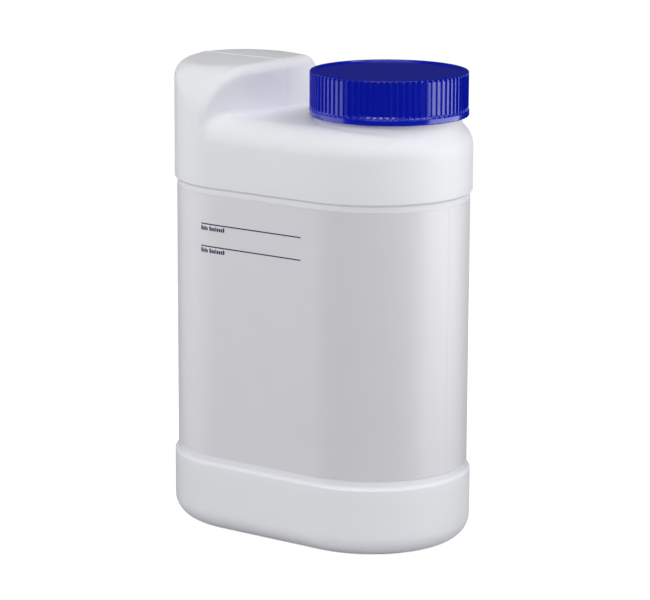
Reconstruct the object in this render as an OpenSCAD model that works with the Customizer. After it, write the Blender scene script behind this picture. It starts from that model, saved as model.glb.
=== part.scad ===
// Wide-neck plastic reagent bottle with a grip block beside the neck.
// Origin: centre of the base. +X points towards the neck, +Z up. Millimetres.

/* [Bottle body] */
// Overall length of the body, along X
body_l = 166; // [150:1:180]
// Overall width of the body, along Y
body_w = 102.6; // [94:0.2:110]
// Height of the shoulder's flat top
body_h = 216.4; // [214:0.2:218]
// Wall thickness of the blown shell
wall = 1.6; // [1.2:0.1:2.2]
// Radius of the heel, between base and side
heel_r = 11.3; // [6:0.1:14]
// Radius of the shoulder's round
shoulder_r = 13.4; // [11:0.1:15]
// Rise of the base's middle above the standing rim
push_up = 3.5; // [2:0.1:5]
// Width of the flat rim that the bottle stands on
rim_w = 4; // [3:0.1:6]

/* [Bands and label panel] */
// How far the lower band stands out past the upper band
lower_band_out = 0.55; // [0.2:0.05:1]
// Depth of the label panel below the upper band
panel_depth = 1.4; // [0.6:0.05:1.6]
// Top of the lower band
lower_band_z = 36.9; // [30:0.1:45]
// Bottom of the upper band
upper_band_z = 179.9; // [170:0.1:186]
// Height of the sloping step at each band's edge
step_h = 1.1; // [0.5:0.1:1.5]

/* [Label] */
// Bottom edge of the label
label_z0 = 40.2; // [39:0.1:60]
// Top edge of the label
label_z1 = 176.7; // [150:0.1:178]
// Thickness of the label's paper
label_t = 0.2; // [0.15:0.05:0.3]
// Width of the slit where the label's ends meet
label_slit = 0.4; // [0.3:0.1:1]
// Angle of that slit round the +X end
label_slit_angle = -1; // [-60:1:60]

/* [Grip block] */
// Height of the grip block's flat top
grip_z = 241.4; // [236:0.1:241.6]
// X of the grip block's wall, where it is nearest the neck
grip_nose_x = -24; // [-30:0.5:-20]
// Radius of that wall, seen from above
grip_nose_r = 94; // [80:1:130]
// Radius of the round along the block's two long edges
grip_side_r = 26; // [16:0.5:28]
// Radius of the round over the block's outer end
grip_end_r = 8; // [6:0.5:14]

/* [Neck finish] */
// X of the neck's axis
neck_x = 41.5; // [38:0.1:42]
// Radius of the neck, at the thread's root
neck_r = 35; // [34.8:0.1:35.1]
// Radius of the mouth
mouth_r = 32.7; // [32:0.1:33]
// Radius of the collar under the thread
collar_r = 36.8; // [36:0.1:36.9]
// Top of that collar
collar_z = 221; // [220:0.1:222]
// Rise of the thread in one turn
pitch = 5; // [4.5:0.1:5.5]
// Height of the thread's ridge above its root
thread_depth = 1.6; // [1.2:0.1:1.7]
// Turns of thread on the neck
neck_turns = 1.5; // [1.2:0.1:1.6]
// Turns of thread in the cap
cap_turns = 1.3; // [1:0.1:1.4]

/* [Screw cap] */
// Radius over the cap's grip ribs
cap_r = 40; // [39.6:0.1:40.4]
// Top of the cap's rim
cap_z1 = 241.7; // [241.5:0.1:243]
// Bottom of the cap's skirt
cap_z0 = 219.5; // [218.8:0.1:220]
// Radius of the cap's bore
cap_bore_r = 37.2; // [37.1:0.1:37.5]
// Number of grip ribs
rib_n = 80; // [60:2:100]
// Depth of the pockets between the ribs
rib_depth = 0.9; // [0.5:0.1:1.2]
// Height of the plain band below the ribs
cap_band_h = 2.9; // [2:0.1:4]
// How far that band stands out past the ribs
cap_band_out = 0.3; // [0:0.1:0.5]
// Bevel round the top of the cap
cap_bevel = 0.9; // [0.5:0.1:1.5]
// Depth of the shallow recess in the cap's top
cap_recess = 0.6; // [0.3:0.1:1]
// Width of the rim round that recess
cap_rim_w = 2.6; // [2:0.1:4]
// Thickness of the cap's top
cap_top_t = 1.8; // [1.4:0.1:2.4]
// Thickness of the sealing liner
liner_t = 1; // [0.8:0.1:1.6]

/* [Hidden] */
$fn = 96;
eps = 0.01;

// half the distance between the centres of the body's two round ends
half_run = (body_l - body_w) / 2;
lower_r = body_w / 2;
upper_r = lower_r - lower_band_out;
panel_r = upper_r - panel_depth;
liner_z1 = cap_z1 - cap_recess - cap_top_t;
liner_z0 = liner_z1 - liner_t;
// the neck's land carries the liner
land_z = liner_z0;

// thread: one section for both ridges, set apart by a little less than half a pitch
ridge_root_w = 2.5;
ridge_crest_w = 1;
ridge_sink = 0.4;
thread_steps = 48;
neck_thread_z = 226.5;
cap_thread_z = neck_thread_z - 2.35;

// pushes a profile of (radius, height) round the body's plan: two half turns and a straight run
module round_the_body() {
    for (side = [-1, 1])
        translate([side * half_run, 0, 0]) rotate([0, 0, -side * 90])
            rotate_extrude(angle = 180) children();
    translate([-half_run, 0, 0]) rotate([90, 0, 90])
        linear_extrude(height = 2 * half_run) {
            children();
            mirror([1, 0]) children();
        }
}

// flat-topped block profile with a rounded top outer corner
module rounded_top_profile(r, z0, z1, corner) {
    square_h = z1 - corner - z0;
    translate([0, z0]) square([r, square_h]);
    translate([0, z0]) square([r - corner, z1 - z0]);
    translate([r - corner, z1 - corner]) intersection() {
        circle(r = corner);
        square([corner, corner]);
    }
}

// heel: flat-bottomed block profile with a rounded bottom outer corner
module rounded_foot_profile(r, z0, z1, corner) {
    translate([0, z0 + corner]) square([r, z1 - z0 - corner]);
    translate([0, z0]) square([r - corner, z1 - z0]);
    translate([r - corner, z0 + corner]) intersection() {
        circle(r = corner);
        translate([0, -corner]) square([corner, corner]);
    }
}

// the body's side from base to shoulder; inset = 0 for the outside, the wall for the inside
module body_profile(inset) {
    rounded_foot_profile(lower_r - inset, inset, lower_band_z - step_h, heel_r - inset);
    polygon([
        [0, lower_band_z - step_h - eps], [lower_r - inset, lower_band_z - step_h - eps],
        [lower_r - inset, lower_band_z - step_h], [panel_r - inset, lower_band_z],
        [panel_r - inset, upper_band_z], [upper_r - inset, upper_band_z + step_h],
        [upper_r - inset, upper_band_z + step_h + eps], [0, upper_band_z + step_h + eps]
    ]);
    rounded_top_profile(upper_r - inset, upper_band_z + step_h, body_h - inset, shoulder_r - inset);
}

// dished base: a shallow flat recess inside the standing rim, with a sloping edge
module base_recess(depth, spread) {
    rim_inner = lower_r - heel_r - rim_w + spread;
    polygon([[0, -eps], [rim_inner, -eps], [rim_inner - 2 * depth, depth], [0, depth]]);
}

// grip block: the body's round end carried up, rounded along its sides and over its end
module grip_block(inset) {
    top = grip_z - inset;
    low = body_h - shoulder_r - 8;
    side = grip_side_r - inset;
    half_w = upper_r - inset;
    intersection() {
        round_the_body() rounded_top_profile(half_w, low, top, grip_end_r - inset);
        translate([grip_nose_x - grip_nose_r, 0, low])
            cylinder(r = grip_nose_r - inset, h = grip_z, $fn = 180);
        translate([-body_l, 0, 0]) rotate([90, 0, 90]) linear_extrude(height = 2 * body_l) {
            for (flip = [0, 1]) mirror([flip, 0])
                rounded_top_profile(half_w, low, top, side);
        }
    }
}

// helical ridge of trapezoid section on radius r; it stands out to +depth or, if depth < 0, inwards
module thread_ridge(r, depth, z_start, turns) {
    n = ceil(turns * thread_steps);
    lead_in = 6;
    ring = [for (i = [0 : n])
        let (a = 360 * i / thread_steps,
             z = z_start + pitch * i / thread_steps,
             fade = min(1, (i + 0.5) / lead_in, (n - i + 0.5) / lead_in),
             tip = r + depth * fade,
             root = r - sign(depth) * ridge_sink,
             crest = ridge_crest_w / 2,
             foot = ridge_root_w / 2)
        [[root, z - foot], [root, z + foot], [tip, z + crest], [tip, z - crest], a]];
    points = [for (g = ring) for (k = [0 : 3])
        [g[k][0] * cos(g[4]), g[k][0] * sin(g[4]), g[k][1]]];
    walls = [for (i = [0 : n - 1]) for (k = [0 : 3])
        [4 * i + k, 4 * i + (k + 1) % 4, 4 * (i + 1) + (k + 1) % 4, 4 * (i + 1) + k]];
    ends = [[3, 2, 1, 0], [4 * n, 4 * n + 1, 4 * n + 2, 4 * n + 3]];
    faces = concat(walls, ends);
    turned = [for (f = faces) [for (k = [len(f) - 1 : -1 : 0]) f[k]]];
    polyhedron(points, depth > 0 ? turned : faces, convexity = 6);
}

module neck_outside() {
    translate([neck_x, 0, body_h - shoulder_r]) cylinder(r = neck_r, h = land_z - body_h + shoulder_r);
    translate([neck_x, 0, body_h - shoulder_r]) cylinder(r = collar_r, h = collar_z - body_h + shoulder_r);
}

module bottle_body() {
    color("whitesmoke") difference() {
        union() {
            round_the_body() body_profile(0);
            grip_block(0);
            neck_outside();
            translate([neck_x, 0, 0]) thread_ridge(neck_r, thread_depth, neck_thread_z, neck_turns);
        }
        difference() {
            union() {
                round_the_body() body_profile(wall);
                grip_block(wall);
            }
            round_the_body() base_recess(push_up + wall, wall + 2);
        }
        round_the_body() base_recess(push_up, 0);
        translate([neck_x, 0, body_h - shoulder_r]) cylinder(r = mouth_r, h = land_z);
    }
}

module wrap_label() {
    color("ivory") difference() {
        round_the_body() translate([panel_r, label_z0]) square([label_t, label_z1 - label_z0]);
        translate([half_run, 0, 0]) rotate([0, 0, label_slit_angle])
            translate([panel_r - 5, -label_slit / 2, label_z0 - 1])
                cube([10, label_slit, label_z1 - label_z0 + 2]);
    }
}

// ring of ribs seen from above: each rib's tip is narrower than its root
module rib_ring() {
    step = 360 / rib_n;
    root_r = cap_r - rib_depth;
    polygon([for (i = [0 : rib_n - 1]) for (c = [[root_r, -0.3], [cap_r, -0.16], [cap_r, 0.16], [root_r, 0.3]])
        [c[0] * cos(step * (i + c[1])), c[0] * sin(step * (i + c[1]))]]);
}

module cap_shell() {
    root_r = cap_r - rib_depth;
    band_r = cap_r + cap_band_out;
    rib_top = cap_z1 - cap_bevel;
    translate([0, 0, cap_z0 + cap_band_h]) linear_extrude(height = rib_top - cap_z0 - cap_band_h) rib_ring();
    rotate_extrude() {
        translate([0, cap_z0]) square([band_r, cap_band_h]);
        translate([0, rib_top]) polygon([[0, 0], [root_r, 0], [root_r, 0.2], [root_r + 0.2 - cap_bevel, cap_bevel],
            [0, cap_bevel]]);
    }
}

module screw_cap() {
    color("mediumblue") translate([neck_x, 0, 0]) {
        difference() {
            cap_shell();
            translate([0, 0, cap_z0 - 1]) cylinder(r = cap_bore_r, h = liner_z1 - cap_z0 + 1);
            translate([0, 0, cap_z1 - cap_recess]) cylinder(r = cap_r - cap_rim_w, h = cap_recess + 1);
        }
        thread_ridge(cap_bore_r, -thread_depth, cap_thread_z, cap_turns);
    }
}

module cap_liner() {
    color("gainsboro") translate([neck_x, 0, liner_z0])
        cylinder(r = cap_bore_r - 0.3, h = liner_t);
}

bottle_body();
wrap_label();
screw_cap();
cap_liner();
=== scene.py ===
"""Looks of the wide-neck reagent bottle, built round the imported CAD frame.

Shapes are made in millimetres and turned into metres when a mesh is built. The bottle is one closed skin: rings
round the sides, a smooth blended skin over the shoulder and the grip block, and a turned neck with its thread.
"""
import math

import bpy
import numpy as np
from mathutils import Matrix, Vector


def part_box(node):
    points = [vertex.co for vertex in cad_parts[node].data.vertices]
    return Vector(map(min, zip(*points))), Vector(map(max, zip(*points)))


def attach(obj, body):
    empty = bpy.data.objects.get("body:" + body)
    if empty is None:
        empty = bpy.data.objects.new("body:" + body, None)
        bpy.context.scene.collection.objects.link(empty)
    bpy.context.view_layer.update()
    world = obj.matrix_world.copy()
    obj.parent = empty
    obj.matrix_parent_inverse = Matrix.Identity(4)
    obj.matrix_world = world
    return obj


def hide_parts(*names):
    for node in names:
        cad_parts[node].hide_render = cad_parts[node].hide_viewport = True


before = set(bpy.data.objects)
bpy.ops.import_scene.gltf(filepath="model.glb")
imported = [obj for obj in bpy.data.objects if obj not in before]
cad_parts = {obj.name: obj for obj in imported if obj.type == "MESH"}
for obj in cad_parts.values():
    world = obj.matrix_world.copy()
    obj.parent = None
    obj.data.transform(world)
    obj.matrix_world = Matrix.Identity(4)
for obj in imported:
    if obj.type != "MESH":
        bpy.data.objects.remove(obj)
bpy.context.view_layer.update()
MM = 0.001


def box_mm(node):
    """Lowest and highest corners of a CAD node, in millimetres"""
    low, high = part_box(node)
    return np.array(low) / MM, np.array(high) / MM


# --- sizes that come from the frame -------------------------------------------------------------------------------
body_high = box_mm("bottle_body")[1]
label_low, label_high = box_mm("wrap_label")
cap_low, cap_high = box_mm("screw_cap")
liner_low, liner_high = box_mm("cap_liner")

LOWER_R = body_high[1]
HALF_RUN = body_high[0] - LOWER_R
GRIP_Z = body_high[2]
NECK_X = (cap_low[0] + cap_high[0]) / 2
CAP_R = (cap_high[1] - cap_low[1]) / 2
CAP_Z0 = cap_low[2]
CAP_Z1 = cap_high[2]
LAND_Z = liner_low[2]
LINER_R = (liner_high[1] - liner_low[1]) / 2
LABEL_Z0 = label_low[2]
LABEL_Z1 = label_high[2]
LABEL_T = 0.2
PANEL_R = label_high[1] - LABEL_T

# --- sizes of the design, in millimetres, as the CAD has them -----------------------------------------------------
UPPER_R = LOWER_R - 0.55
WALL = 1.6
SHOULDER_Z = 216.4
SHOULDER_R = 13.4
HEEL_R = 11.3
RIM_W = 4.0
PUSH_UP = 3.5
LOWER_BAND_Z = 36.9
UPPER_BAND_Z = 179.9
STEP_H = 1.1
NOSE_X = -24.0
NOSE_R = 94.0
GRIP_SIDE_R = 26.0
GRIP_END_R = 8.0
GRIP_CROWN_R = 440.0
NOSE_EDGE_R = 5.5
NOSE_END_R = 2.5
CREASE_R = 1.3
CREASE_END_R = 4.0
BEAD_H = 0.35
BEAD_W = 1.2
NECK_R = 35.0
MOUTH_R = 32.7
COLLAR_R = 36.8
COLLAR_Z = 221.0
NECK_FILLET = 2.4
PITCH = 5.0
THREAD_DEPTH = 1.6
NECK_THREAD_Z = 226.5
NECK_TURNS = 1.5
CAP_TURNS = 1.3
CAP_THREAD_Z = NECK_THREAD_Z - 2.35
CAP_BORE_R = 37.2
CAP_BAND_H = 2.7
CAP_RIM_W = 2.6
CAP_RECESS = 0.7
RIBS = 80
RIB_SET_BACK = 0.3
RIB_DEPTH = 0.85
RIB_END = 0.6
LINER_DENT = 0.12

# --- the label's lap and print, in millimetres --------------------------------------------------------------------
LAP = 2.6
LAP_RAMP = 0.8
LAP_ANGLE = 89
LINE_X = (-40.4, 23.2)
LINE_HEIGHTS = (161.7, 150.2)
LINE_HALF = 0.32
LETTER_H = 2.3
LOW_LETTER_H = 1.7
LETTER_DROP = 1.0
LETTER_GAP = 0.3
# caption blocks as (kind, width): tall, low or an empty space
TALL, LOW, SPACE = 1, 0, -1
CAPTION = (
    (TALL, 1.1), (LOW, 1.0), (TALL, 0.6), (LOW, 1.0), (SPACE, 0.6),
    (TALL, 1.0), (LOW, 1.0), (LOW, 1.0), (TALL, 0.5), (LOW, 1.0), (LOW, 1.1), (LOW, 1.0), (TALL, 1.0),
)

# --- how finely the skins are cut ---------------------------------------------------------------------------------
END_STEPS = 96
RUN_STEPS = 24
TURN_STEPS = 240
STEPS_PER_RIB = 14
THREAD_ROW = 0.25
SPLIT_Z = 190.0
OUTER_CELL = 0.9
INNER_CELL = 1.8
SHARP_ANGLE = 55


# --- distance fields ----------------------------------------------------------------------------------------------
def rounded_overlap(a, b, r):
    """What is inside both a and b, its edge rounded to radius r"""
    return np.minimum(-r, np.maximum(a, b)) + np.hypot(np.maximum(r + a, 0), np.maximum(r + b, 0))


def filleted_sum(a, b, r):
    """What is inside a or b, the crease between them filled to radius r"""
    return np.maximum(r, np.minimum(a, b)) - np.hypot(np.maximum(r - a, 0), np.maximum(r - b, 0))


def around_body(x, y, r):
    """Distance from the body's upright side of radius r"""
    return np.hypot(np.maximum(np.abs(x) - HALF_RUN, 0), y) - r


def from_neck(x, y, r):
    """Distance from the neck's upright side of radius r"""
    return np.hypot(x - NECK_X, y) - r


def closed_body(x, y, z):
    """Body with its shoulder and grip block, without the neck"""
    side = around_body(x, y, UPPER_R)
    run = np.maximum(np.abs(x) - HALF_RUN, 0)
    across = np.where(run > 0, np.abs(y) / np.maximum(np.hypot(run, y), 1e-6), 1.0)
    block_r = GRIP_END_R + (GRIP_SIDE_R - GRIP_END_R) * across**8
    block = rounded_overlap(side, z - GRIP_Z + y * y / (2 * GRIP_CROWN_R), block_r)
    nose = np.hypot(x - NOSE_X + NOSE_R, y) - NOSE_R
    outward = np.clip(np.abs(y) / UPPER_R, 0, 1)
    grip = rounded_overlap(block, nose, NOSE_EDGE_R + (NOSE_END_R - NOSE_EDGE_R) * outward**2)
    bead = BEAD_H * np.clip(1 - (y / BEAD_W) ** 2, 0, 1) ** 2
    shoulder = rounded_overlap(side, z - SHOULDER_Z, SHOULDER_R)
    crease_r = CREASE_R + (CREASE_END_R - CREASE_R) * outward**3
    return np.maximum(filleted_sum(grip - bead, shoulder, crease_r), side - bead)


def outer_top(x, y, z):
    """Outside of the body above the split, filleted into the collar"""
    return filleted_sum(closed_body(x, y, z), from_neck(x, y, COLLAR_R), NECK_FILLET)


def inner_top(x, y, z):
    """Inside of the body above the split, filleted into the mouth"""
    mouth = np.maximum(from_neck(x, y, MOUTH_R), SHOULDER_Z - 12 - z)
    return filleted_sum(closed_body(x, y, z) + WALL, mouth, 1.0)


def slope(field, p):
    """Value and gradient of a field at points p"""
    h = 0.02
    x, y, z = p.T
    steps = [
        (field(x + h, y, z) - field(x - h, y, z)) / (2 * h),
        (field(x, y + h, z) - field(x, y - h, z)) / (2 * h),
        (field(x, y, z + h) - field(x, y, z - h)) / (2 * h),
    ]
    return field(x, y, z), np.stack(steps, axis=1)


def onto_surface(field, p, rounds=4):
    """Points p moved along the gradient to where the field is 0"""
    for _ in range(rounds):
        value, grad = slope(field, p)
        p = p - grad * (value / np.maximum((grad**2).sum(axis=1), 1e-6))[:, None]
    return p


def grid_axes(low, high, cell):
    """Grid lines at the cell's spacing, and closer ones round the parting line on y = 0"""
    axes = [lo + cell * np.arange(int(math.ceil((hi - lo) / cell)) + 1) for lo, hi in zip(low, high)]
    near = 2 * BEAD_W
    fine = np.linspace(-near, near, 15)
    axes[1] = np.concatenate([axes[1][axes[1] < -near - cell / 2], fine, axes[1][axes[1] > near + cell / 2]])
    return axes


def surface_net(field, axes):
    """Quad skin of field = 0 on a grid: points, quads, and each point's layer counted up from low z"""
    f = field(*np.meshgrid(*axes, indexing="ij"))
    inside = f < 0
    shape = np.array(f.shape) - 1
    total = np.zeros((*shape, 3), dtype=np.float32)
    count = np.zeros(shape, dtype=np.float32)
    span = [slice(0, n) for n in shape]
    for axis in range(3):
        others = [a for a in range(3) if a != axis]
        for i in (0, 1):
            for j in (0, 1):
                near = list(span)
                near[others[0]] = slice(i, shape[others[0]] + i)
                near[others[1]] = slice(j, shape[others[1]] + j)
                far = list(near)
                far[axis] = slice(1, shape[axis] + 1)
                near, far = tuple(near), tuple(far)
                crossed = inside[near] != inside[far]
                place = np.zeros((int(crossed.sum()), 3))
                place[:, axis] = f[near][crossed] / (f[near][crossed] - f[far][crossed])
                place[:, others[0]] = i
                place[:, others[1]] = j
                total[crossed] += place
                count += crossed
    cells = np.argwhere(count > 0)
    number = -np.ones(shape, dtype=int)
    number[tuple(cells.T)] = np.arange(len(cells))
    within = total[tuple(cells.T)] / count[tuple(cells.T)][:, None]
    points = np.column_stack([a[c] + (a[c + 1] - a[c]) * w for a, c, w in zip(axes, cells.T, within.T)])
    quads = []
    for axis in range(3):
        u, v = [(1, 2), (2, 0), (0, 1)][axis]
        here = [slice(1, n) for n in shape]
        here[axis] = slice(0, shape[axis])
        ahead = list(here)
        ahead[axis] = slice(1, shape[axis] + 1)
        here, ahead = tuple(here), tuple(ahead)
        crossed = np.argwhere(inside[here] != inside[ahead])
        start = np.array([0 if a == axis else 1 for a in range(3)])
        at = crossed + start
        leaving = inside[tuple(at.T)]
        corners = []
        for du, dv in ((1, 1), (0, 1), (0, 0), (1, 0)):
            c = at.copy()
            c[:, u] -= du
            c[:, v] -= dv
            corners.append(number[tuple(c.T)])
        quad = np.stack(corners, axis=1)
        quad[~leaving] = quad[~leaving][:, ::-1]
        quads.append(quad)
    return points, np.concatenate(quads), cells[:, 2]


def relaxed_net(field, axes, keep, rounds=6):
    """Surface net cut down to the points that keep(points, layer) allows, evened out, its open edges kept level"""
    points, quads, layer = surface_net(field, axes)
    points = onto_surface(field, points)
    kept = keep(points, layer)
    quads = quads[kept[quads].all(axis=1)]
    used = np.unique(quads)
    renumber = -np.ones(len(points), dtype=int)
    renumber[used] = np.arange(len(used))
    points, quads, layer = points[used], renumber[quads], layer[used]
    edges = np.concatenate([quads[:, [i, (i + 1) % 4]] for i in range(4)])
    key, times = np.unique(np.sort(edges, axis=1), axis=0, return_counts=True)
    border = np.unique(key[times == 1])
    level = (axes[2][layer[border]] + axes[2][layer[border] + 1]) / 2
    for _ in range(rounds):
        total = np.zeros_like(points)
        count = np.zeros(len(points))
        for a, b in ((0, 1), (1, 0)):
            np.add.at(total, key[:, a], points[key[:, b]])
            np.add.at(count, key[:, a], 1)
        points = points + 0.5 * (total / count[:, None] - points)
        points[border, 2] = level
        points = onto_surface(field, points, 2)
    points[border, 2] = level
    return points, quads, border


# --- skins ------------------------------------------------------------------------------------------------------
class Skin:
    """Grows a mesh: points in millimetres and faces"""

    def __init__(self):
        self.points = []
        self.faces = []
        self.size = 0

    def add(self, points):
        points = np.asarray(points, dtype=float)
        ids = np.arange(self.size, self.size + len(points))
        self.points.append(points)
        self.size += len(points)
        return ids

    def face(self, faces, flip=False):
        for f in faces:
            ids = [int(i) for i in f]
            self.faces.append(ids[::-1] if flip else ids)

    def band(self, lower, upper, flip=False, closed=True):
        """Quads between two rows of points that run the same way"""
        n = len(lower)
        last = n if closed else n - 1
        self.face(((lower[i], lower[(i + 1) % n], upper[(i + 1) % n], upper[i]) for i in range(last)), flip)

    def stack(self, rows, flip=False, closed=True):
        for lower, upper in zip(rows, rows[1:]):
            self.band(lower, upper, flip, closed)

    def zip(self, lower, upper, centre, flip=False):
        """Triangles between two closed rows with different numbers of points, matched by their angle"""
        xyz = np.concatenate(self.points)

        def ordered(row):
            offset = xyz[row][:, :2] - np.array(centre)
            angle = np.arctan2(offset[:, 1], offset[:, 0])
            order = np.argsort(angle)
            return row[order], angle[order]

        low, low_angle = ordered(np.asarray(lower))
        high, high_angle = ordered(np.asarray(upper))
        low = np.append(low, low[0])
        high = np.append(high, high[0])
        low_angle = np.append(low_angle, low_angle[0] + math.tau)
        high_angle = np.append(high_angle, high_angle[0] + math.tau)
        i = j = 0
        tris = []
        while i < len(low) - 1 or j < len(high) - 1:
            step_low = j == len(high) - 1 or (i < len(low) - 1 and low_angle[i + 1] <= high_angle[j + 1])
            if step_low:
                tris.append((low[i], low[i + 1], high[j]))
                i += 1
            else:
                tris.append((low[i], high[j + 1], high[j]))
                j += 1
        self.face(tris, flip)

    def build(self, name, material):
        mesh = bpy.data.meshes.new(name)
        mesh.from_pydata((np.concatenate(self.points) * MM).tolist(), [], self.faces)
        mesh.validate()
        mesh.materials.append(material)
        mesh.shade_smooth()
        mesh.set_sharp_from_angle(angle=math.radians(SHARP_ANGLE))
        obj = bpy.data.objects.new(name, mesh)
        bpy.context.scene.collection.objects.link(obj)
        return obj


def arc_path(corners, steps=6):
    """Polyline through (a, b, radius) corners, each corner with a radius turned into an arc"""
    path = [np.array(corners[0][:2], dtype=float)]
    for before, corner, after in zip(corners, corners[1:], corners[2:]):
        p = np.array(corner[:2], dtype=float)
        radius = corner[2]
        to_before = np.array(before[:2]) - p
        to_after = np.array(after[:2]) - p
        to_before /= np.linalg.norm(to_before)
        to_after /= np.linalg.norm(to_after)
        half = math.acos(max(-1.0, min(1.0, float(to_before @ to_after)))) / 2
        if radius <= 0 or half > math.radians(89.5):
            path.append(p)
            continue
        reach = radius / math.tan(half)
        middle = p + (to_before + to_after) / np.linalg.norm(to_before + to_after) * radius / math.sin(half)
        start, end = p + to_before * reach - middle, p + to_after * reach - middle
        turn = math.atan2(start[0] * end[1] - start[1] * end[0], start @ end)
        for k in range(steps + 1):
            c, s = math.cos(turn * k / steps), math.sin(turn * k / steps)
            path.append(middle + [start[0] * c - start[1] * s, start[0] * s + start[1] * c])
    path.append(np.array(corners[-1][:2], dtype=float))
    return path


def with_spacing(path, gap):
    """The same path with long straights cut so that no step is longer than gap"""
    out = [path[0]]
    for a, b in zip(path, path[1:]):
        n = max(1, int(math.ceil(np.linalg.norm(b - a) / gap)))
        out += [a + (b - a) * k / n for k in range(1, n + 1)]
    return out


def stadium_ring(r, z):
    """Points round the body's plan at radius r, anticlockwise from the front of the +X end"""
    end = np.radians(-90 + 180 * np.arange(END_STEPS) / END_STEPS)
    run = np.linspace(HALF_RUN, -HALF_RUN, RUN_STEPS + 1)[:-1]
    right = np.stack([HALF_RUN + r * np.cos(end), r * np.sin(end)], axis=1)
    back = np.stack([run, np.full(RUN_STEPS, r)], axis=1)
    xy = np.concatenate([right, back, -right, -back])
    return np.column_stack([xy, np.full(len(xy), z)])


def turned_ring(x, r, z, steps=TURN_STEPS):
    """Points round an upright axis at x; r and z may be arrays, one value for each point"""
    a = math.tau * np.arange(steps) / steps
    return np.column_stack([x + r * np.cos(a), r * np.sin(a), np.broadcast_to(z, (steps,))])


def thread_height(z, start_z, turns, steps=TURN_STEPS):
    """How far the thread's ridge stands out at height z, for each point of a turned ring"""
    crest, foot, fade = 0.45, 1.25, 0.09
    part = np.arange(steps) / steps
    height = np.zeros(steps)
    for lap in range(int(turns) + 1):
        along = part + lap
        off = np.abs(z - start_z - PITCH * along)
        flank = np.clip((foot - off) / (foot - crest), 0, 1)
        ends = np.clip(np.minimum(along + 0.01, turns - along) / fade, 0, 1)
        rise = flank * flank * (3 - 2 * flank)
        height = np.maximum(height, rise * np.sin(ends * math.pi / 2))
    return height * THREAD_DEPTH


# --- the pieces -----------------------------------------------------------------------------------------------------
def side_profile():
    """Outside of the body from the middle of its base up to the split, as (radius, height)"""
    rim_inner = LOWER_R - HEEL_R - RIM_W
    corners = [
        (6, PUSH_UP + 0.4, 0),
        (rim_inner - 2 * PUSH_UP, PUSH_UP, 4),
        (rim_inner, 0, 1.2),
        (LOWER_R - HEEL_R * 0.9, 0, 0),
    ]
    path = arc_path(corners)[:-1]
    heel = arc_path([(rim_inner + RIM_W * 0.8, 0, 0), (LOWER_R, 0, HEEL_R), (LOWER_R, HEEL_R * 1.2, 0)], 16)
    path += heel
    step = arc_path(
        [
            (LOWER_R, LOWER_BAND_Z - 6, 0),
            (LOWER_R, LOWER_BAND_Z - STEP_H, 0.9),
            (PANEL_R, LOWER_BAND_Z, 0.6),
            (PANEL_R, LOWER_BAND_Z + 3.2, 0),
        ],
        5,
    )
    path += step
    path += arc_path(
        [
            (PANEL_R, UPPER_BAND_Z - 4, 0),
            (PANEL_R, UPPER_BAND_Z, 0.6),
            (UPPER_R, UPPER_BAND_Z + STEP_H, 0.6),
            (UPPER_R, SPLIT_Z - 1.5, 0),
        ],
        5,
    )
    return with_spacing(path, 9)


def inner_profile():
    """Inside of the body from the middle of its floor up to the split"""
    rim_inner = LOWER_R - HEEL_R - RIM_W
    path = arc_path(
        [
            (6, PUSH_UP + WALL + 0.4, 0),
            (rim_inner - 2 * PUSH_UP + WALL, PUSH_UP + WALL, 4),
            (rim_inner + WALL * 0.6, WALL, 1.2),
            (LOWER_R - WALL, WALL, HEEL_R - WALL),
            (LOWER_R - WALL, LOWER_BAND_Z - STEP_H, 0.5),
            (PANEL_R - WALL, LOWER_BAND_Z, 0.5),
            (PANEL_R - WALL, UPPER_BAND_Z, 0.5),
            (UPPER_R - WALL, UPPER_BAND_Z + STEP_H, 0.5),
            (UPPER_R - WALL, SPLIT_Z - 2, 0),
        ],
        6,
    )
    return with_spacing(path, 12)


def close_floor(skin, ring, z, flip):
    """Closes a stadium ring with quads across its straight run and fans at its ends"""
    right = skin.add([[HALF_RUN, 0, z]])[0]
    left = skin.add([[-HALF_RUN, 0, z]])[0]
    back, front = END_STEPS, 2 * END_STEPS + RUN_STEPS
    n = len(ring)
    fans = [(right, ring[i], ring[i + 1]) for i in range(END_STEPS)]
    fans += [(left, ring[i], ring[i + 1]) for i in range(back + RUN_STEPS, front)]
    fans += [(right, ring[back], ring[0])]
    fans += [(left, ring[front], ring[back + RUN_STEPS])]
    cross = []
    for i in range(RUN_STEPS):
        cross.append((ring[back + i], ring[back + i + 1], ring[(n - i - 1) % n], ring[(n - i) % n]))
    skin.face(fans + cross, flip)


def neck_rows(skin, outer_z, inner_z):
    """Rings up the outside of the neck, over its land and down its bore"""
    outside = arc_path(
        [
            (COLLAR_R, outer_z, 0),
            (COLLAR_R, COLLAR_Z, 0.4),
            (NECK_R, COLLAR_Z + 0.5, 0.5),
            (NECK_R, COLLAR_Z + 2, 0),
        ],
        4,
    )
    heights = np.arange(COLLAR_Z + 2.3, LAND_Z - 1.2, THREAD_ROW)
    outside += [np.array([NECK_R, z]) for z in heights]
    inside = arc_path(
        [
            (NECK_R, LAND_Z - 1.0, 0),
            (NECK_R, LAND_Z, 0.5),
            (MOUTH_R, LAND_Z, 0.6),
            (MOUTH_R, LAND_Z - 4, 0),
        ],
        5,
    )
    inside = with_spacing(inside + [np.array([MOUTH_R, inner_z])], 4)
    rows = []
    for r, z in outside + inside:
        ridge = thread_height(z, NECK_THREAD_Z, NECK_TURNS) if r == NECK_R else 0
        rows.append(skin.add(turned_ring(NECK_X, r + ridge, z)))
    return rows


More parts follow.
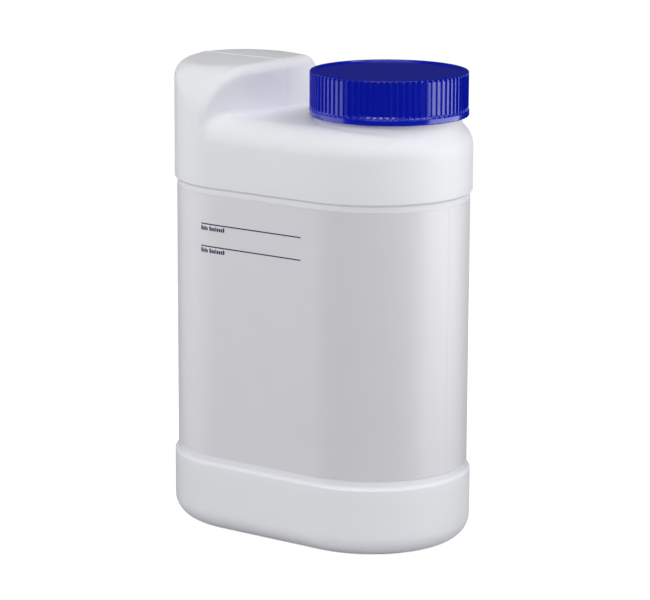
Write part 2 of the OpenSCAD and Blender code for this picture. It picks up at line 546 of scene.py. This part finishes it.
def bottle_skin():
    """The bottle's one closed skin, outside and inside"""
    skin = Skin()
    low = (-body_high[0] - 2, -LOWER_R - 2)
    high = (body_high[0] + 2, LOWER_R + 2, GRIP_Z + 3)

    # sides, outside and inside
    outer_rows = [skin.add(stadium_ring(r, z)) for r, z in side_profile()]
    skin.stack(outer_rows)
    close_floor(skin, outer_rows[0], PUSH_UP + 0.4, True)
    inner_rows = [skin.add(stadium_ring(r, z)) for r, z in inner_profile()]
    skin.stack(inner_rows, flip=True)
    close_floor(skin, inner_rows[0], PUSH_UP + WALL + 0.4, False)

    # blended skins over the shoulder and the grip block
    def part(field, cell, cut_z, neck_r):
        bottom = SPLIT_Z - cell / 2
        top_layer = int((cut_z - bottom) / cell)

        def keep(points, layer):
            near_neck = from_neck(points[:, 0], points[:, 1], neck_r) < 0
            return ~(near_neck & (layer > top_layer))

        net, quads, border = relaxed_net(field, grid_axes((*low, bottom), high, cell), keep)
        ids = skin.add(net)
        at_neck = net[border, 2] > SPLIT_Z + 5
        return ids, quads, ids[border[~at_neck]], ids[border[at_neck]], bottom + cell * (top_layer + 0.5)

    ids, quads, side_row, neck_row, neck_z = part(outer_top, OUTER_CELL, SHOULDER_Z + NECK_FILLET + 0.4, COLLAR_R + 3)
    skin.face(ids[quads])
    inner = part(inner_top, INNER_CELL, SHOULDER_Z + 1.0, MOUTH_R + 1.2)
    skin.face(inner[0][inner[1]], True)

    rows = neck_rows(skin, neck_z + 0.6, inner[4] + 0.8)
    skin.stack(rows)
    skin.zip(outer_rows[-1], side_row, (0, 0))
    skin.zip(inner_rows[-1], inner[2], (0, 0), True)
    skin.zip(neck_row, rows[0], (NECK_X, 0))
    skin.zip(inner[3], rows[-1], (NECK_X, 0), True)
    return skin


def cap_skin():
    """Screw cap: ribbed outside, rimmed top, and a threaded bore"""
    skin = Skin()
    steps = RIBS * STEPS_PER_RIB
    part = (np.arange(steps) % STEPS_PER_RIB) / STEPS_PER_RIB
    from_rib = np.abs((part + 0.5) % 1 - 0.5)
    pocket = np.clip((from_rib - 0.10) / 0.09, 0, 1)
    pocket = pocket * pocket * (3 - 2 * pocket)
    tip_r = CAP_R - RIB_SET_BACK
    band_top = CAP_Z0 + CAP_BAND_H
    rib_top = CAP_Z1 - RIB_END
    floor_z = CAP_Z1 - CAP_RECESS
    outside = arc_path(
        [
            (CAP_BORE_R + 0.9, CAP_Z0, 0),
            (CAP_R, CAP_Z0, 0.5),
            (CAP_R, band_top, 0.25),
            (tip_r, band_top + 0.3, 0.2),
            (tip_r, band_top + 1.6, 0),
        ],
        4,
    )
    outside += [np.array([tip_r, z]) for z in np.linspace(band_top + 2.2, rib_top - 1.2, 8)]
    top = arc_path(
        [
            (tip_r, rib_top - 0.9, 0),
            (tip_r, CAP_Z1, 0.7),
            (tip_r - CAP_RIM_W, CAP_Z1, 0.35),
            (tip_r - CAP_RIM_W - 0.5, floor_z, 0.5),
            (tip_r - 6, floor_z, 0),
        ],
        7,
    )
    rows = []
    for r, z in outside + top:
        lower = np.clip((z - band_top - 0.1) / 0.9, 0, 1)
        upper = np.clip((rib_top + 0.4 - z) / 0.7, 0, 1)
        amount = math.sin(lower * math.pi / 2) * upper * upper * (3 - 2 * upper)
        outer = r > tip_r - 1.5
        rows.append(skin.add(turned_ring(NECK_X, r - RIB_DEPTH * amount * pocket * outer, z, steps)))
    skin.stack(rows)
    disc = [skin.add(turned_ring(NECK_X, r, floor_z)) for r in (30, 22, 14, 6)]
    skin.zip(rows[-1], disc[0], (NECK_X, 0))
    skin.stack(disc)
    middle = skin.add([[NECK_X, 0, floor_z]])[0]
    n = TURN_STEPS
    skin.face((disc[-1][i], disc[-1][(i + 1) % n], middle) for i in range(n))

    ceiling = liner_high[2]
    entry = [(CAP_BORE_R + 0.5, CAP_Z0, 0), (CAP_BORE_R, CAP_Z0 + 0.5, 0.2), (CAP_BORE_R, CAP_Z0 + 1.6, 0)]
    roof_edge = [(CAP_BORE_R, ceiling - 2, 0), (CAP_BORE_R, ceiling, 0.4), (30, ceiling, 0), (4, ceiling, 0)]
    bore = arc_path(entry, 3)
    bore += [np.array([CAP_BORE_R, z]) for z in np.arange(CAP_Z0 + 1.9, ceiling - 2.5, THREAD_ROW)]
    bore += arc_path(roof_edge, 4)
    rows_in = []
    for r, z in bore:
        ridge = thread_height(z, CAP_THREAD_Z, CAP_TURNS) if r == CAP_BORE_R else 0
        rows_in.append(skin.add(turned_ring(NECK_X, r - ridge, z)))
    skin.stack(rows_in, flip=True)
    roof = skin.add([[NECK_X, 0, ceiling]])[0]
    skin.face(((rows_in[-1][i], rows_in[-1][(i + 1) % n], roof) for i in range(n)), True)
    skin.zip(rows_in[0], rows[0], (NECK_X, 0))
    return skin


def liner_skin():
    """Foam disc, with the ring that the neck's land has pressed into its underside"""
    skin = Skin()
    z0, z1 = liner_low[2], liner_high[2]
    dented_z = z0 + LINER_DENT
    under = arc_path(
        [
            (3, dented_z, 0),
            (MOUTH_R - 0.6, dented_z, 0.3),
            (MOUTH_R - 0.2, z0 + LINER_DENT * 0.5, 0.1),
            (MOUTH_R, z0, 0.1),
            (NECK_R, z0, 0.1),
            (LINER_R, z0, 0.25),
            (LINER_R, z1, 0.2),
            (3, z1, 0),
        ],
        4,
    )
    n = TURN_STEPS // 2
    rows = [skin.add(turned_ring(NECK_X, r, z, n)) for r, z in under]
    skin.stack(rows)
    for row, z, flip in ((rows[0], dented_z, True), (rows[-1], z1, False)):
        middle = skin.add([[NECK_X, 0, z]])[0]
        skin.face(((row[i], row[(i + 1) % n], middle) for i in range(n)), flip)
    return skin


def along_label(s, lift):
    """Place on the label panel at arc length s from the front of the +X end, lifted off by lift"""
    end = math.pi * PANEL_R
    run = 2 * HALF_RUN
    s = s % (2 * (end + run))
    r = PANEL_R + lift
    side = 1
    if s >= end + run:
        s -= end + run
        side = -1
    if s < end:
        a = s / PANEL_R - math.pi / 2
        x, y = HALF_RUN + r * math.cos(a), r * math.sin(a)
    else:
        x, y = HALF_RUN - (s - end), r
    return side * x, side * y


def label_skin():
    """Paper wrap: a thin closed sheet whose last stretch lies over its first"""
    skin = Skin()
    around = 2 * (math.pi * PANEL_R + 2 * HALF_RUN)
    seam = PANEL_R * math.radians(LAP_ANGLE) - LAP
    near_ramp = around + np.array([-2 * LAP_RAMP, -LAP_RAMP, -0.6 * LAP_RAMP, -0.3 * LAP_RAMP, 0.0, 0.3])
    near_ends = [0.1, around + LAP - 0.1]
    stations = np.unique(np.concatenate([np.linspace(0, around + LAP, 300), near_ramp, near_ends]))
    heights = np.unique(np.append(np.linspace(LABEL_Z0, LABEL_Z1, 24), [LABEL_Z0 + 0.1, LABEL_Z1 - 0.1]))

    def sheet(extra):
        rows = []
        for z in heights:
            points = []
            for s in stations:
                over = np.clip((s - around + LAP_RAMP) / LAP_RAMP, 0, 1)
                lift = extra + LABEL_T * 1.02 * over * over * (3 - 2 * over)
                x, y = along_label(seam + s, lift)
                points.append((x, y, z))
            rows.append(skin.add(points))
        return rows

    inner = sheet(0.01)
    outer = sheet(LABEL_T - 0.01)
    skin.stack(outer, closed=False)
    skin.stack(inner, flip=True, closed=False)
    skin.band(inner[0], outer[0], closed=False)
    skin.band(outer[-1], inner[-1], closed=False)
    first = ([row[0] for row in inner], [row[0] for row in outer])
    last = ([row[-1] for row in inner], [row[-1] for row in outer])
    skin.band(first[1], first[0], closed=False)
    skin.band(last[0], last[1], closed=False)
    return skin


def printed_bar(skin, x0, x1, z0, z1):
    """A thin printed bar on the front of the label, from x0 to x1 and z0 to z1"""
    end = math.pi * PANEL_R
    front = end + 2 * HALF_RUN + end
    n = max(1, int(abs(x1 - x0) / 1.5))
    rows = []
    for lift in (LABEL_T - 0.01, LABEL_T + 0.03):
        for z in (z0, z1):
            places = [along_label(front + HALF_RUN + x, lift) for x in np.linspace(x0, x1, n + 1)]
            rows.append(skin.add([(x, y, z) for x, y in places]))
    under_low, under_high, over_low, over_high = rows
    skin.band(over_low, over_high, closed=False)
    skin.band(under_low, under_high, closed=False, flip=True)
    skin.band(under_low, over_low, closed=False)
    skin.band(over_high, under_high, closed=False)
    skin.face([(under_low[0], over_low[0], over_high[0], under_high[0])], True)
    skin.face([(under_low[-1], over_low[-1], over_high[-1], under_high[-1])])


def print_skin():
    """Two ruled lines, each with a caption that is only small blocks"""
    skin = Skin()
    for line_z in LINE_HEIGHTS:
        printed_bar(skin, *LINE_X, line_z - LINE_HALF, line_z + LINE_HALF)
        x = LINE_X[0]
        foot = line_z - LETTER_DROP - LETTER_H
        for kind, wide in CAPTION:
            if kind != SPACE:
                printed_bar(skin, x, x + wide, foot, foot + (LETTER_H if kind == TALL else LOW_LETTER_H))
            x += wide + LETTER_GAP
    return skin


# --- materials ------------------------------------------------------------------------------------------------------
def new_material(name):
    mat = bpy.data.materials.new(name)
    mat.use_nodes = True
    nodes = mat.node_tree.nodes
    return mat, nodes, mat.node_tree.links, nodes["Principled BSDF"]


def noise(nodes, links, coords, scale, detail=2.0, roughness=0.5):
    tex = nodes.new("ShaderNodeTexNoise")
    tex.inputs["Scale"].default_value = scale
    tex.inputs["Detail"].default_value = detail
    tex.inputs["Roughness"].default_value = roughness
    links.new(coords, tex.inputs["Vector"])
    return tex.outputs["Fac"]


def mapped(nodes, links, value, low, high):
    node = nodes.new("ShaderNodeMapRange")
    node.inputs["To Min"].default_value = low
    node.inputs["To Max"].default_value = high
    links.new(value, node.inputs["Value"])
    return node.outputs["Result"]


def bump(nodes, links, height, strength, distance, normal=None):
    node = nodes.new("ShaderNodeBump")
    node.inputs["Strength"].default_value = strength
    node.inputs["Distance"].default_value = distance
    links.new(height, node.inputs["Height"])
    if normal is not None:
        links.new(normal, node.inputs["Normal"])
    return node.outputs["Normal"]


def object_coords(nodes):
    return nodes.new("ShaderNodeTexCoord").outputs["Object"]


def bottle_plastic():
    """Natural polyethylene: cloudy, cool white, satin, light passing through its wall"""
    mat, nodes, links, shader = new_material("natural_polyethylene")
    coords = object_coords(nodes)
    shader.inputs["Base Color"].default_value = (0.9, 0.902, 0.985, 1)
    shader.inputs["Subsurface Weight"].default_value = 1.0
    shader.inputs["Subsurface Radius"].default_value = (1.0, 1.0, 1.0)
    shader.inputs["Subsurface Scale"].default_value = 0.001
    shader.inputs["IOR"].default_value = 1.48
    shader.inputs["Specular IOR Level"].default_value = 0.3
    links.new(mapped(nodes, links, noise(nodes, links, coords, 40), 0.42, 0.52), shader.inputs["Roughness"])
    wave = bump(nodes, links, noise(nodes, links, coords, 28, 1.0), 0.25, 0.0006)
    grain = bump(nodes, links, noise(nodes, links, coords, 900, 3.0), 0.12, 0.00003, wave)
    links.new(grain, shader.inputs["Normal"])
    return mat


def cap_plastic():
    """Deep blue moulded polypropylene"""
    mat, nodes, links, shader = new_material("blue_polypropylene")
    coords = object_coords(nodes)
    shader.inputs["Base Color"].default_value = (0.004, 0.012, 0.44, 1)
    shader.inputs["IOR"].default_value = 1.5
    shader.inputs["Specular IOR Level"].default_value = 0.7
    links.new(mapped(nodes, links, noise(nodes, links, coords, 120), 0.15, 0.19), shader.inputs["Roughness"])
    grain = bump(nodes, links, noise(nodes, links, coords, 900, 2.0), 0.04, 0.00002)
    links.new(grain, shader.inputs["Normal"])
    return mat


def label_paper():
    """Off-white coated paper"""
    mat, nodes, links, shader = new_material("label_paper")
    coords = object_coords(nodes)
    tone = mapped(nodes, links, noise(nodes, links, coords, 60, 3.0), 0.0, 1.0)
    mix = nodes.new("ShaderNodeMix")
    mix.data_type = "RGBA"
    mix.inputs["A"].default_value = (0.765, 0.755, 0.775, 1)
    mix.inputs["B"].default_value = (0.785, 0.775, 0.795, 1)
    links.new(tone, mix.inputs["Factor"])
    links.new(mix.outputs["Result"], shader.inputs["Base Color"])
    links.new(mapped(nodes, links, noise(nodes, links, coords, 300), 0.46, 0.54), shader.inputs["Roughness"])
    shader.inputs["IOR"].default_value = 1.7
    shader.inputs["Specular IOR Level"].default_value = 1.0
    fibres = bump(nodes, links, noise(nodes, links, coords, 2200, 4.0, 0.65), 0.2, 0.00002)
    links.new(fibres, shader.inputs["Normal"])
    return mat


def print_ink():
    """Matt, nearly black blue"""
    mat, nodes, links, shader = new_material("dark_blue_ink")
    coords = object_coords(nodes)
    mix = nodes.new("ShaderNodeMix")
    mix.data_type = "RGBA"
    mix.inputs["A"].default_value = (0.006, 0.008, 0.07, 1)
    mix.inputs["B"].default_value = (0.01, 0.014, 0.1, 1)
    links.new(noise(nodes, links, coords, 1500), mix.inputs["Factor"])
    links.new(mix.outputs["Result"], shader.inputs["Base Color"])
    shader.inputs["Roughness"].default_value = 0.5
    return mat


def liner_foam():
    """White foamed polyethylene, with fine closed cells"""
    mat, nodes, links, shader = new_material("liner_foam")
    coords = object_coords(nodes)
    shader.inputs["Base Color"].default_value = (0.86, 0.86, 0.84, 1)
    cells = nodes.new("ShaderNodeTexVoronoi")
    cells.inputs["Scale"].default_value = 2500
    links.new(coords, cells.inputs["Vector"])
    shader.inputs["Roughness"].default_value = 0.75
    links.new(bump(nodes, links, cells.outputs["Distance"], 0.35, 0.00008), shader.inputs["Normal"])
    return mat


# --- the object -----------------------------------------------------------------------------------------------------
def make_object():
    bottle = bottle_skin().build("bottle_shell", bottle_plastic())
    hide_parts("bottle_body")
    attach(bottle, "bottle")

    cap = cap_skin().build("ribbed_cap", cap_plastic())
    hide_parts("screw_cap")
    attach(cap, "cap")

    liner = liner_skin().build("foam_liner", liner_foam())
    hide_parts("cap_liner")
    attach(liner, "liner")

    label = label_skin().build("paper_wrap", label_paper())
    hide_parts("wrap_label")
    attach(label, "bottle")

    ink = print_skin().build("label_print", print_ink())
    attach(ink, "bottle")


# --- floor, light and camera ----------------------------------------------------------------------------------------
VIEW_AZIMUTH = 36.23
VIEW_ELEVATION = 12.29
VIEW_DISTANCE = 1.6092
VIEW_ROLL = 0.244
LOOK_HEIGHT = 0.11837
LOOK_RIGHT = 0.00175
LENS = 172.42
LAMP_AIM = Vector((0, 0, 0.12))
LAMP_TINT = (0.965, 0.975, 1.0)
WORLD_STRENGTH = 1.02
FLOOR_REACH = 0.6
FLOOR_STEPS = 128


def direction(azimuth, elevation):
    """Unit vector from the object towards a viewer; azimuth 0 looks along +Y"""
    a, e = math.radians(azimuth), math.radians(elevation)
    return Vector((math.sin(a) * math.cos(e), -math.cos(a) * math.cos(e), math.sin(e)))


def make_camera():
    data = bpy.data.cameras.new("camera")
    data.lens = LENS
    data.sensor_width = 36
    data.clip_end = 50
    camera = bpy.data.objects.new("camera", data)
    bpy.context.scene.collection.objects.link(camera)
    a = math.radians(VIEW_AZIMUTH)
    target = Vector((math.cos(a), math.sin(a), 0)) * LOOK_RIGHT + Vector((0, 0, LOOK_HEIGHT))
    out = direction(VIEW_AZIMUTH, VIEW_ELEVATION)
    turn = out.to_track_quat("Z", "Y").to_matrix().to_4x4()
    roll = Matrix.Rotation(math.radians(VIEW_ROLL), 4, "Z")
    camera.matrix_world = Matrix.Translation(target + out * VIEW_DISTANCE) @ turn @ roll
    bpy.context.scene.camera = camera


def softbox(name, azimuth, elevation, distance, size, power):
    """Soft lamp aimed at the object; size in metres, power in watts"""
    data = bpy.data.lights.new(name, "AREA")
    data.shape = "RECTANGLE"
    data.size, data.size_y = size
    data.energy = power
    data.color = LAMP_TINT
    lamp = bpy.data.objects.new(name, data)
    bpy.context.scene.collection.objects.link(lamp)
    out = direction(azimuth, elevation)
    turn = out.to_track_quat("Z", "Y").to_matrix().to_4x4()
    lamp.matrix_world = Matrix.Translation(LAMP_AIM + out * distance) @ turn
    lamp.visible_camera = False


def make_world():
    """White surroundings that only the camera sees: the softboxes light the object"""
    world = bpy.data.worlds.new("white_surroundings")
    bpy.context.scene.world = world
    world.use_nodes = True
    back = world.node_tree.nodes["Background"]
    back.inputs["Color"].default_value = (1, 1, 1, 1)
    back.inputs["Strength"].default_value = WORLD_STRENGTH
    seen_by = world.cycles_visibility
    seen_by.diffuse = False
    seen_by.glossy = False
    seen_by.transmission = False
    seen_by.scatter = False


def floor_disc(name, z, tone, glow):
    """Round, matt table top"""
    angles = [math.tau * k / FLOOR_STEPS for k in range(FLOOR_STEPS)]
    ring = [(FLOOR_REACH * math.cos(a), FLOOR_REACH * math.sin(a), z) for a in angles]
    mesh = bpy.data.meshes.new(name)
    mesh.from_pydata(ring, [], [range(FLOOR_STEPS)])
    mat, nodes, links, shader = new_material(name)
    shader.inputs["Base Color"].default_value = (tone, tone, tone, 1)
    shader.inputs["Roughness"].default_value = 0.9
    shader.inputs["Emission Color"].default_value = (1, 1, 1, 1)
    shader.inputs["Emission Strength"].default_value = glow
    mesh.materials.append(mat)
    disc = bpy.data.objects.new(name, mesh)
    bpy.context.scene.collection.objects.link(disc)
    disc.visible_glossy = False
    return disc


def make_floor():
    """White table top for the camera, and a duller one just under it that throws light up on the object"""
    seen = floor_disc("floor_seen", 0, 0.8, 0.8)
    seen.visible_shadow = False
    seen.visible_diffuse = False
    bounce = floor_disc("floor_bounce", -0.2 * MM, 0.6, 0)
    bounce.visible_camera = False


def make_lights():
    softbox("right_box", VIEW_AZIMUTH + 88, -4, 1.6, (1.8, 1.2), 21.5)
    softbox("left_box", VIEW_AZIMUTH - 103, 3, 1.6, (2.2, 1.8), 19)
    softbox("front_box", VIEW_AZIMUTH - 13, 34, 1.6, (1.2, 0.9), 14.5)
    softbox("high_right_box", VIEW_AZIMUTH + 60, 50, 1.6, (0.8, 0.6), 5.5)
    softbox("top_box", VIEW_AZIMUTH, 85, 1.5, (1.0, 1.0), 4.5)
    softbox("back_box", VIEW_AZIMUTH + 180, 12, 1.6, (1.2, 0.7), 0.08)


make_camera()
make_object()
make_floor()
make_lights()
make_world()
bpy.context.scene.view_settings.view_transform = "Standard"
